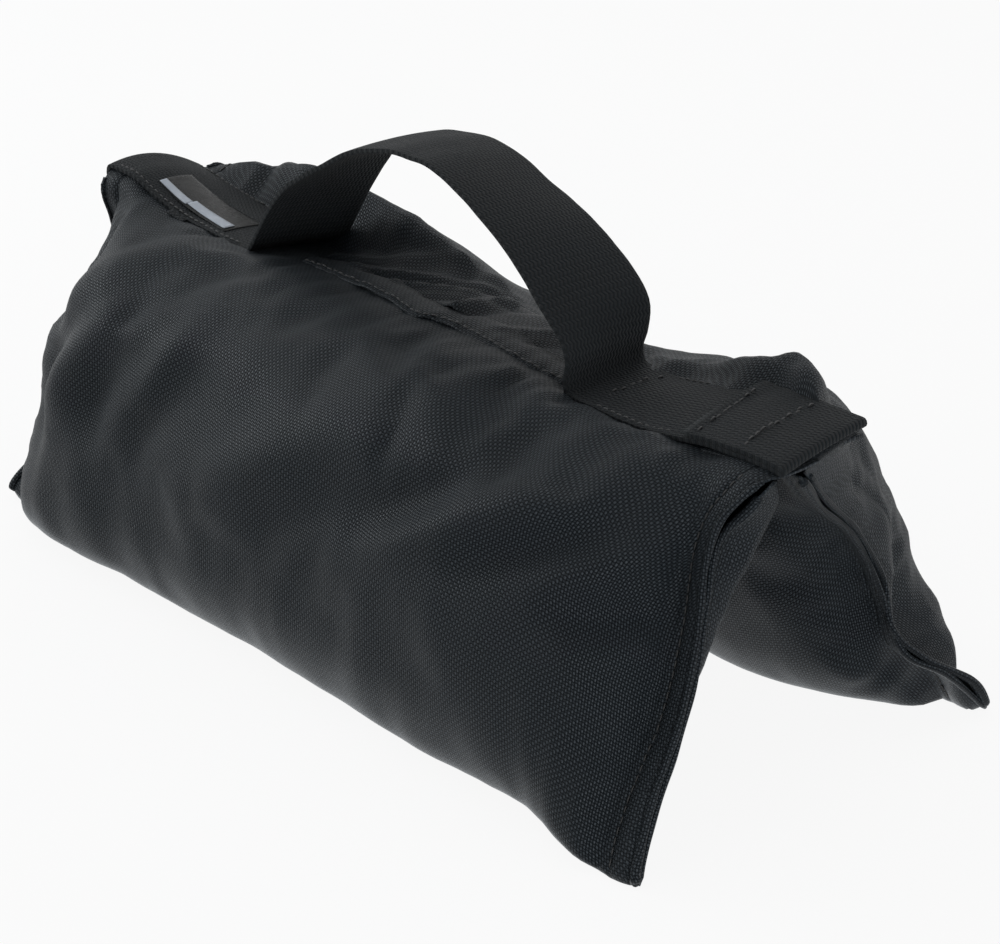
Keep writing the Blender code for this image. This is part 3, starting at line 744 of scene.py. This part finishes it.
def make_pouch(side):
    sign = -1 if side == "front" else 1
    coarse_x = np.linspace(-HALF, HALF, COARSE_STATIONS)
    coarse_v, coarse_run = ring_places(side, COARSE_STEP)
    coarse = pouch_grid(side, coarse_x, coarse_v)
    xs = station_places(STATION_STEP)
    places, run = ring_places(side, RING_STEP)
    grid = pouch_grid(side, xs, places)
    near_end = smooth(np.abs(coarse_x), HALF - 34, HALF - FLANGE)[:, None]
    edge = np.ones(len(coarse_v))
    edge[:4] = edge[-4:] = 0
    edge = 1 - soften(np.repeat(edge[None, :, None], 3, 0), 6)[0, :, 0]
    resting = (1 - smooth(coarse[:, :, 2], 0.4, 8)) * 0.9
    hold = np.clip(np.maximum(np.maximum(near_end, edge), np.maximum(resting, 0.06)), 0, 1)
    # Pressure follows the faces, so the grid is turned to face outward.
    turn = 1 if faces_out(coarse, sign) else -1
    offset = settle("settling_" + side, coarse[::turn], hold[::turn])[::turn]
    offset = soften(offset - 0.9 * soften(offset, 45), 1) * 1.15
    settled = resample(offset, coarse_x, xs, coarse_run, run)
    grid = grid + settled * (0.25 + 0.75 * smooth(grid[:, :, 2], 25, 95))[:, :, None]

    outward = faces_out(grid, sign)
    normal = normals_of(grid) * (1 if outward else -1)
    away, height = np.abs(grid[:, :, 1]), grid[:, :, 2]
    outer = smooth(normal[:, :, 1] * sign, -0.2, 0.35) * smooth(away, 30, 46)
    inner = smooth(-normal[:, :, 1] * sign, -0.1, 0.4)
    inset = (HALF - np.abs(xs))[:, None]
    free = smooth(inset, 14, 40) * (0.40 + 0.60 * smooth(height, 30, 95))
    lift = fold_heights(side, grid, outer) * smooth(inset, 10, 26)
    lift = lift * (0.30 + 0.70 * smooth(height, 40, 95))
    # Broad unevenness of the sand, and finer puckers towards the seams
    lift = lift + perlin(grid, 62, 1 if side == "front" else 2) * 2.0 * free
    lift = lift + perlin(grid, 24, 3, (1, 0.6, 0.6)) * 0.9 * free
    high = smooth(height, 116, 136)
    pull = bell(inset, 20, 9) * (1 - 0.85 * high)
    ripple = perlin(grid, 9.5, 4 if side == "front" else 5, (0.35, 1, 1))
    lift = lift + ripple * 1.7 * pull
    lift = lift - 0.55 * bell(inset, STITCH_INSET, 1.1) * (1 + 0.5 * ripple)
    lift = lift + 0.45 * bell(inset, 5.5, 3.2) * (1 + 1.2 * ripple) * (1 - 0.8 * high)
    lift = lift * smooth(height, 0.3, 7)
    # Small pleats where the cloth is gathered on the ridge
    gather = bell(away, 33, 9) * smooth(height, 120, 136)
    if side == "back":
        gather = gather * (1 - 0.8 * smooth(np.abs(xs), 90, 130)[:, None])
    pleat = perlin(grid, 8.0, 6, (1, 0.25, 0.25))
    lift = lift + gather * pleat * 1.6
    lift = lift + inner * perlin(grid, 34, 7) * 1.2 * free
    grid = grid + normal * lift[:, :, None]
    if side == "back":
        grid[:, :, 2] += ridge_pleats(grid) * smooth(grid[:, :, 1], -14, -6)
    grid[:, :, 2] = np.maximum(grid[:, :, 2], CLEARANCE)

    length, around = distances(grid), distances(grid, 1)
    middle = len(xs) // 2
    widest = int(np.argmax(np.abs(grid[middle, :, 1])))
    weave = flat_place(length - length[middle] + 300, around - around[:, widest:widest + 1] + 400,
                       bell(inset, 0.4, 1.2))
    obj = grid_mesh(side + "_pouch_cloth", grid, weave, CLOTH, flip=not outward)
    return obj, grid, normal, xs, places


# Pleats on the ridge: height, width, and the two ends as (x, y)
PLEATS = [
    (2.6, 3.2, (-88, 4), (-30, 34)), (-2.4, 3.4, (-84, -2), (-20, 26)), (2.4, 2.8, (-62, -6), (0, 26)),
    (-2.2, 3.0, (-52, -6), (8, 22)), (2.2, 2.6, (-32, -5), (20, 27)), (-2.0, 3.0, (-10, -6), (24, 20)),
    (3.4, 3.6, (8, -12), (14, 26)), (-2.2, 3.6, (17, -8), (26, 24)), (1.8, 3.4, (40, -6), (62, 22)),
    (-1.6, 3.2, (56, -6), (74, 20)),
]


def ridge_pleats(grid):
    """Soft pleats that cross the bare ridge between the strap's feet, towards the back pouch."""
    x, y = grid[:, :, 0], grid[:, :, 1]
    total = np.zeros_like(x)
    for height, width, a, b in PLEATS:
        t, away = beside(x, y, a, b)
        total += height * np.exp(-((away / width) ** 2)) * (1 - 0.5 * t)
    open_part = smooth(x, -108, -92) * (1 - smooth(x, 84, 98))
    return total * open_part * smooth(y, -16, -4) * (1 - smooth(y, 24, 44))


pouches = {side: make_pouch(side) for side in ("front", "back")}

# Tubes, stitches and hems


def tube(path, radii, sides):
    """Points, faces and weave of a closed tube along a path, with a radius for each of its points."""
    tangent = np.gradient(path, axis=0)
    tangent /= np.maximum(np.linalg.norm(tangent, axis=1, keepdims=True), 1e-12)
    a = np.cross(tangent, [0.0, 0.0, 1.0])
    steep = np.linalg.norm(a, axis=1) < 0.15
    a[steep] = np.cross(tangent[steep], [1.0, 0.0, 0.0])
    a /= np.maximum(np.linalg.norm(a, axis=1, keepdims=True), 1e-12)
    b = np.cross(a, tangent)
    run = distances(path)
    points, faces, weave = [], [], []
    for k in range(len(path)):
        for s in range(sides):
            angle = 2 * math.pi * s / sides
            points.append(path[k] + radii[k] * (math.cos(angle) * a[k] + math.sin(angle) * b[k]))
            weave.append((s / sides * 2 * math.pi * radii[k] + 300, run[k] + 50, 0))
    for k in range(len(path) - 1):
        for s in range(sides):
            n = (s + 1) % sides
            faces.append((k * sides + s, k * sides + n, (k + 1) * sides + n, (k + 1) * sides + s))
    faces.append(tuple(reversed(range(sides))))
    faces.append(tuple(range((len(path) - 1) * sides, len(path) * sides)))
    return points, faces, weave


def mesh_of(name, parts, material):
    """One object from several (points, faces, weave) parts in mm."""
    points, faces, weave = [], [], []
    for part in parts:
        start = len(points)
        points.extend(part[0])
        faces.extend(tuple(start + i for i in face) for face in part[1])
        weave.extend(part[2])
    obj = piece_of(name, np.array(points), faces, np.array(weave) * MM, material)
    bm = bmesh.new()
    bm.from_mesh(obj.data)
    bmesh.ops.recalc_face_normals(bm, faces=bm.faces)
    bm.to_mesh(obj.data)
    bm.free()
    return obj


def stitches(name, path, length=3.4, gap=0.9, radius=0.42, sink=0.1, wander=0.12, seed=1):
    """A row of separate stitches along a path of points on the cloth."""
    dip = radius * np.array([-1.3, 0, 0.35, 0.35, 0, -1.3]) - sink
    radii = radius * np.array([0.55, 1, 1, 1, 1, 0.55])
    parts = []
    random = np.random.default_rng(seed)
    for k in range(int(distances(path)[-1] // (length + gap))):
        at = k * (length + gap) + gap / 2 + np.linspace(0, length, 6)
        line = walk(path, at) + random.normal(0, wander, 3)
        line[:, 2] += dip
        parts.append(tube(line, radii, 6))
    return mesh_of(name, parts, THREAD)


# Strap

STRAP_T = 2.0
LIFT = 0.1 + STRAP_T / 2  # of the strap's middle layer above the ridge
DOUBLE = STRAP_T + 0.45  # rise of the turned-back end
FOOT_LEFT, FOOT_RIGHT = -114.0, 108.0  # where the strap's feet meet the loop
TURN = HALF - 1.6  # where the right end turns back
STRAP_END = 166.0
LOOP_NEAR = np.array([
    (-111.5, 140.2), (-109, 146.5), (-99, 161), (-83, 179), (-57, 196), (-36, 208), (-12, 215), (3, 216.2),
    (18, 215.8), (43, 206.5), (67, 191), (85, 175.5), (97, 164), (101.5, 155), (100, 147), (101, 141.5),
    (106, 139.6),
])
LOOP_FAR = np.array([
    (-107.5, 133), (-105, 138), (-93, 157), (-74, 183), (-64, 192), (-36, 205), (-18, 208.8), (-3, 210.5),
    (15, 208.5), (31, 203.5), (63, 191), (85, 178.5), (95.5, 167), (95, 154), (92, 145), (93, 138.5),
    (99, 136.4),
])


def even(points, count):
    """Points spread evenly along a Catmull-Rom curve through these."""
    dense = ring_spline(points[None], np.linspace(0, 1, 900))[0]
    return walk(dense, np.linspace(0, distances(dense)[-1], count))


def make_strap():
    across = np.linspace(-1, 1, 17)
    y = across * EDGE
    on_top = ridge(-HALF, y) + LIFT
    # The left end hangs over the end of the ridge.
    rows = [triples(-HALF - out + 0.4, y, on_top - drop)
            for drop, out in ((9.0, 2.2), (6.5, 2.9), (4.0, 3.0), (2.0, 2.5), (0.7, 1.5))]
    rows += [triples(x, y, ridge(x, y) + LIFT) for x in np.linspace(-HALF + 0.2, FOOT_LEFT, 44)]
    steps = 96
    t = (across + 1) / 2
    for k, (near, far) in enumerate(zip(even(LOOP_NEAR, steps), even(LOOP_FAR, steps))):
        if 2 <= k < steps - 1:
            x, z = (near[c] * (1 - t) + far[c] * t for c in (0, 1))
            cup = 1.4 * math.sin(math.pi * k / steps)
            rows.append(triples(x, y, z + cup * (0.4 - across**2)))
    rows += [triples(x, y, ridge(x, y) + LIFT + 0.2) for x in np.linspace(FOOT_RIGHT, TURN, 44)]
    fold = (STRAP_T + 0.35) / 2
    for a in np.radians(np.linspace(-60, 60, 5)):
        x = TURN + fold * math.cos(a)
        rows.append(triples(x, y, ridge(HALF, y) + LIFT + fold + fold * math.sin(a)))
    for x in np.linspace(HALF - 1.8, STRAP_END, 24):
        curl = 1.5 * smooth(STRAP_END + 7 - x, 0, 7)
        skew = 3.0 * smooth(STRAP_END + 12 - x, 0, 12) * across
        rows.append(triples(x - skew, y, ridge(x, y) + LIFT + 2 * fold + curl))
    grid = np.stack(rows)
    # The folded end is cut a little askew.
    grid[:, :, 0] -= 4.5 * (across + 1) / 2 * smooth(grid[:, :, 0], 186, HALF)
    # Slight unevenness of the webbing
    grid[:, :, 2] += perlin(grid, 26, 8, (1, 0.4, 1)) * 0.7
    grid[:, 0, 1] += 0.5 * perlin(grid[:, 0], 11, 9)
    grid[:, -1, 1] += 0.5 * perlin(grid[:, -1], 11, 10)
    run = distances(grid.mean(1))[:, None]
    fray = smooth(run - (run[-1] - 3.5), 0, 3.5) * smooth(-across, -0.3, 0.8)
    fray = np.clip(fray + 0.10 * bell(np.abs(across), 1, 0.06), 0, 1)
    obj = grid_mesh("carry_strap", grid, flat_place(run + 50, y + 60, fray), STRAP)
    thicken(obj, STRAP_T, 0)
    modify(obj, "BEVEL", width=0.55 * MM, segments=2, limit_method="ANGLE", angle_limit=math.radians(50))
    obj.data.shade_smooth()
    return obj, grid


strap, strap_grid = make_strap()


YARN = (0.17, 0.15, 0.13, 0.11, 0.07)  # radii from root to tip


def make_fray():
    """Loose ends of yarn along the strap's cut end."""
    random = np.random.default_rng(31)
    edge = strap_grid[-1]
    parts = []
    for k in range(90):
        at = random.random() ** 1.5 * (len(edge) - 1.001)
        j = int(at)
        root = edge[j] + (edge[j + 1] - edge[j]) * (at - j) + np.array([0.6, 0, random.uniform(-0.5, 0.9)])
        reach = random.uniform(1.0, 3.0)
        tip = np.array([-1.0, random.normal(0, 0.5), random.uniform(-0.35, 0.5)])
        droop = np.array([0, random.normal(0, 0.4), random.uniform(-0.5, 0.1)])
        t = np.linspace(0, 1, 5)[:, None]
        points, faces, weave = tube(root + tip * t * reach + droop * t * t * reach, YARN, 5)
        parts.append((points, faces, [(a, b, 900) for a, b, c in weave]))
    return mesh_of("strap_fray", parts, STRAP)


on_saddle(make_fray(), "webbing")
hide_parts("strap_foot_left", "strap_foot_right", "handle_loop")
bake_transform(strap)

# Saddle panel under the strap

PANEL_X, PANEL_Y, PANEL_DEPTH = (-219.5, 217), (-24, 24), 2.6
panel_x, panel_y = np.meshgrid(np.linspace(*PANEL_X, 120), np.linspace(*PANEL_Y, 17), indexing="ij")
panel = grid_mesh("saddle_lining", triples(panel_x, panel_y, ridge(panel_x, panel_y) - PANEL_DEPTH),
                  flat_place(panel_x + 300, panel_y + 50), CLOTH)
on_saddle(thicken(panel, 1.4, 0), "pouch_fabric", "saddle_panel")

# Closing lap between the strap's feet

LAP_X = (-84, 92)
LAP_LOW = curve([
    (-84, -17), (-66, -18.5), (-47, -19.5), (-20, -20.5), (4, -24.5), (12, -20.5), (30, -19.5), (60, -21),
    (92, -19),
])
LAP_TOP = curve([
    (-84, -8), (-66, -3), (-40, -4), (-20, -5), (0, -8), (10, -9), (20, -2), (40, 0), (60, -3), (92, -4),
])


def make_lap():
    x = np.linspace(*LAP_X, 100)[:, None]
    t = np.linspace(0, 1, 13)
    y = LAP_LOW(x) * (1 - t) + LAP_TOP(x) * t
    puff = 1.9 * np.sin(math.pi * np.clip(t * 0.94 + 0.03, 0, 1)) ** 0.5
    grid = triples(x, y, ridge(x, y) + puff)
    grid[:, :, 2] += ridge_pleats(grid) * smooth(y, -14, -6) * 0.8
    pucker = perlin(grid, 5.5, 11, (1, 0.3, 0.3))
    grid[:, :, 2] += pucker * (0.7 * bell(t, 0.1, 0.2) + 0.35)
    obj = grid_mesh("closing_lap", grid, flat_place(x + 300, y + 90, 0.25 * bell(t, 1, 0.08)), CLOTH)
    on_saddle(thicken(obj, 1.2, -1), "pouch_fabric", "lap_hem")
    row = stitches("lap_stitches", grid[:, 2] + np.array([0, 0, 0.15]), seed=2)
    on_saddle(row, "thread", "lap_thread")


make_lap()

# Label and tab


def on_strap(x, y, lift):
    return triples(x, y, ridge(x, y) + LIFT + STRAP_T / 2 + lift)


def patch(name, corners, count, lift, thickness, material, bulge, seed):
    """A quadrilateral of cloth lying on the strap. corners run near-left, near-right, far-right, far-left."""
    a, b, c, d = corners
    s, t = np.linspace(0, 1, count[0])[:, None], np.linspace(0, 1, count[1])
    x, y = ((1 - s) * (1 - t) * a[k] + s * (1 - t) * b[k] + s * t * c[k] + (1 - s) * t * d[k] for k in (0, 1))
    grid = on_strap(x, y, lift)
    rise = (np.sin(math.pi * s) * np.sin(math.pi * t)) ** 0.6
    grid[..., 2] += bulge * rise * (1 + 1.2 * perlin(grid, 16, seed))
    obj = grid_mesh(name, grid, flat_place(x + 300, y + 60), material)
    return thicken(obj, thickness, 1)


label = patch("label", [(-194, -17.5), (-138, -20), (-137.5, 1), (-195.5, 2.5)], (40, 16), 0.15, 0.45,
              LABEL, 0.4, 12)
on_saddle(label, "label_cloth", "label_patch")
for word, corners, seed in (
    ("left", [(-193, -17), (-172, -17.8), (-172.3, -13.2), (-193.5, -12.8)], 13),
    ("right", [(-172, -16.6), (-140.5, -18.8), (-140.5, -12.6), (-172, -11.2)], 14),
):
    on_saddle(patch("label_band_" + word, corners, (20, 5), 0.8, 0.25, BAND, 0.1, seed), "label_cloth")


TAB_X = (-172.5, -160.5)


def make_tab():
    """A small folded loop of tape that peeps out from under the strap's near edge."""
    x = np.linspace(*TAB_X, 9)[:, None]
    t = np.linspace(0, 1, 11)
    angle = (t - 0.5) * math.pi * 1.15
    grid = triples(x, -25.4 - 2.2 * np.cos(angle), ridge(x, -25.0) + 0.1 + 0.75 + 0.85 * np.sin(angle))
    obj = grid_mesh("label_loop", grid, flat_place(x + 300, t * 5 + 60), STRAP)
    on_saddle(thicken(obj, 0.6, 0), "webbing", "label_tab")


make_tab()

# Pouch seams

HEM_RADIUS = 1.45
SEAM_START = 0.035
# Where rolled cloth or the strap hides the top of a seam, its visible stitches start lower.
STITCH_START = {("front", -1, 1): 0.8, ("front", 1, -1): 0.5, ("back", 1, 1): 0.62, ("back", 1, -1): 0.8}


def seam_line(side, end, inset, face, lift, first=SEAM_START, last=0.985):
    """Points down an end seam, a distance in from its edge and proud of one face."""
    grid, normal, xs, places = pouches[side][1:]
    k = int(np.argmin(np.abs(xs - end * (HALF - inset))))
    at = places * (len(RING_SHARES) - 1)
    ear = RING_SHARES.index(1.0)
    share = np.interp(at, np.arange(len(RING_SHARES)), RING_SHARES)
    which = (at < ear if face > 0 else at > ear + 0.6) & (share > first) & (share < last)
    line = grid[k][which] + normal[k][which] * lift
    return line if face > 0 else line[::-1]


def bend(piece):
    """Bakes the piece's placement into its mesh."""
    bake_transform(piece)


def finish_pouch(side):
    obj = pouches[side][0]
    hems = []
    for end in (-1, 1):
        for face in (1, -1):
            line = seam_line(side, end, 0.5, face, -0.1, last=1.1)[::face]
            line[:, 0] += end * 0.25
            line = even(line, 90)
            # The lower end turns out into a thick ear.
            out = line[-1] - line[-7]
            tip = line[-1] + out / np.linalg.norm(out) * 1.2
            tip[2] = max(tip[2], 2.2)
            t = np.linspace(0, 1, 91)
            radii = HEM_RADIUS + 0.12 * np.sin(40 * t[::face] + face) + 0.75 * smooth(t, 0.80, 0.97)
            radii *= np.where(t > 0.997, 0.72, np.where(t < 0.015, 0.7, 1))
            hems.append(tube(np.vstack([line, tip])[::face], radii[::face], 10))
    hem = mesh_of(side + "_end_hems", hems, CLOTH)
    thicken(obj, CLOTH_THICK, -1)
    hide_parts(side + "_pouch_shell", side + "_top_hem")
    pieces = [obj, hem]
    for end, word in ((-1, "left"), (1, "right")):
        for face, face_word in ((1, "outer"), (-1, "inner")):
            first = STITCH_START.get((side, end, face), SEAM_START)
            line = even(seam_line(side, end, STITCH_INSET, face, 0.32, first), 160)
            row = stitches(f"{side}_seam_stitches_{word}_{face_word}", line, 3.3, 0.9, 0.4, 0.0, 0.08,
                           seed=3 + 2 * face + end)
            if face > 0:
                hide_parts(f"{side}_seam_thread_{word}")
            pieces.append(row)
    for piece in pieces:
        bend(piece)


FILLED = (0.21, 0.93)  # part of the ring that holds sand
FILL_END = 186  # from the middle of the bag


def fill_pieces(side):
    """The liner bag and the sand inside a pouch, set in from its dressed cloth."""
    grid, normal, xs, places = pouches[side][1:]
    columns = np.nonzero((places > FILLED[0]) & (places < FILLED[1]))[0][::3]
    stations = np.nonzero(np.abs(xs) < FILL_END)[0][::3]
    for name, inset, material, slot, node in (
        ("liner", 8.5, FILM, "liner_film", "liner_bag"),
        ("sand", 11.0, SAND, "sand", "sand_fill"),
    ):
        chosen = np.ix_(stations, columns)
        part = grid[chosen] - normal[chosen] * inset
        part[:, :, 0] *= 1 - 0.012 * (inset - 8)
        part[:, :, 2] = np.maximum(part[:, :, 2], inset * 0.5)
        rows, count = part.shape[:2]
        index = np.arange(rows * count).reshape(rows, count)
        faces = [(index[i, j], index[i, (j + 1) % count], index[i + 1, (j + 1) % count], index[i + 1, j])
                 for i in range(rows - 1) for j in range(count)]
        faces += [tuple(index[0, ::-1]), tuple(index[-1])]
        points = part.reshape(-1, 3)
        obj = mesh_of(f"{side}_{name}", [(points, faces, points)], material)
        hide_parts(f"{side}_{node}")
        bend(obj)


for side in pouches:
    finish_pouch(side)
for side in pouches:
    fill_pieces(side)

# Strap stitching


def strap_row(name, x, y, lift, seed, node, gap, radius, wander):
    row = stitches("strap_stitches_" + name, on_strap(x, y, lift), 3.0, gap, radius, 0.05, wander, seed=seed)
    on_saddle(row, "thread", node)


ACROSS = np.linspace(-EDGE + 2.5, EDGE - 2.5, 40)
for name, x, lift, seed, node, skew, wander in (
    ("crease_left", -116.5, 0.2, 21, "cross_thread_left", 0.0, 0.35),
    ("crease_right", 112, 0.3, 22, "cross_thread_right", -0.06, 0.5),
    ("end_inner", 170.5, DOUBLE + 0.4, 23, "end_thread_inner", -0.12, 0.5),
    ("end_outer", 196, DOUBLE + 0.2, 24, "end_thread_outer", -0.08, 0.45),
):
    strap_row(name, x + skew * ACROSS, ACROSS, lift, seed, node, 0.8, 0.45, wander)
for word, start, end, lift, seed in (("left", -217, -119, 0.15, 25), ("right", 116, 162, 0.3, 27)):
    for side, y, later in (("near", -22.8, 0), ("far", 22.8, 1)):
        strap_row(f"{word}_{side}", np.linspace(start, end, 80), y, lift, seed + later,
                  f"edge_thread_{word}_{side}", 1.0, 0.4, 0.1)

# Floor, light and camera

PALE_FLOOR = 0.91  # share of white that the floor shows to the camera and to reflections
FLOOR_HALF = 6  # half width, in metres
# Name, place, target, size, power and colour of each lamp
LAMPS = [
    ("overhead", (-0.45, 0.35, 1.5), (0, 0, 0.1), (2.0, 1.6), 9, (1, 1, 1)),
    ("left_soft", (-1.3, -0.5, 0.55), (-0.1, 0, 0.08), (0.8, 0.6), 8, (0.92, 0.97, 1)),
    ("right_low", (1.0, -0.45, 0.14), (0.1, 0.03, 0.05), (0.7, 0.22), 4.0, (0.96, 0.98, 1)),
]
# Camera: angles in degrees, lens and sensor in mm, distance and aim in metres
AZIMUTH, ELEVATION, ROLL = 49.5, 25.9, -0.8
LENS, SENSOR = 108, 36
DISTANCE = 1.3
AIM = (0.030, 0, 0.0724)


def studio():
    mesh = bpy.data.meshes.new("floor")
    corners = [(x * FLOOR_HALF, y * FLOOR_HALF, 0) for x, y in ((-1, -1), (1, -1), (1, 1), (-1, 1))]
    mesh.from_pydata(corners, [], [(0, 1, 2, 3)])
    floor = link("floor", mesh)
    n = new_material("floor_paper")
    n.put("Roughness", 0.9)
    grain = n.noise(n.place(), 400, 2)
    n.put("Base Color", n.ramp(grain, [(0.2, (0.80, 0.80, 0.80)), (0.8, (0.84, 0.84, 0.84))]))
    n.send(n.mul(n.pale_rays(), PALE_FLOOR), n.new("ShaderNodeEmission"), "Material Output")
    mesh.materials.append(n.owner)

    world = bpy.data.worlds.new("studio")
    scene.world = world
    n = Nodes(world, "Background")
    n.put("Color", (0.96, 0.98, 1, 1))
    n.put("Strength", 0.29)
    white = n.new("ShaderNodeBackground", {"Color": (1, 1, 1, 1)})
    n.send(n.pale_rays(), white, "World Output")

    for name, place, target, size, power, colour in LAMPS:
        data = bpy.data.lights.new(name, "AREA")
        assign(data, shape="RECTANGLE", size=size[0], size_y=size[1], energy=power, color=colour)
        obj = link(name, data)
        obj.location = place
        obj.rotation_euler = (Vector(target) - Vector(place)).to_track_quat("-Z", "Y").to_euler()

    camera = bpy.data.cameras.new("camera")
    assign(camera, sensor_width=SENSOR, lens=LENS, clip_start=0.05, clip_end=50)
    obj = link("camera", camera)
    azimuth, elevation, roll = (math.radians(angle) for angle in (AZIMUTH, ELEVATION, ROLL))
    flat = math.cos(elevation)
    back = Vector((math.sin(azimuth) * flat, -math.cos(azimuth) * flat, math.sin(elevation)))
    obj.location = Vector(AIM) + back * DISTANCE
    turn = (-back).to_track_quat("-Z", "Y").to_matrix() @ Matrix.Rotation(roll, 3, "Z")
    obj.rotation_euler = turn.to_euler()
    scene.camera = obj


studio()
bpy.context.scene.view_settings.view_transform = "Standard"
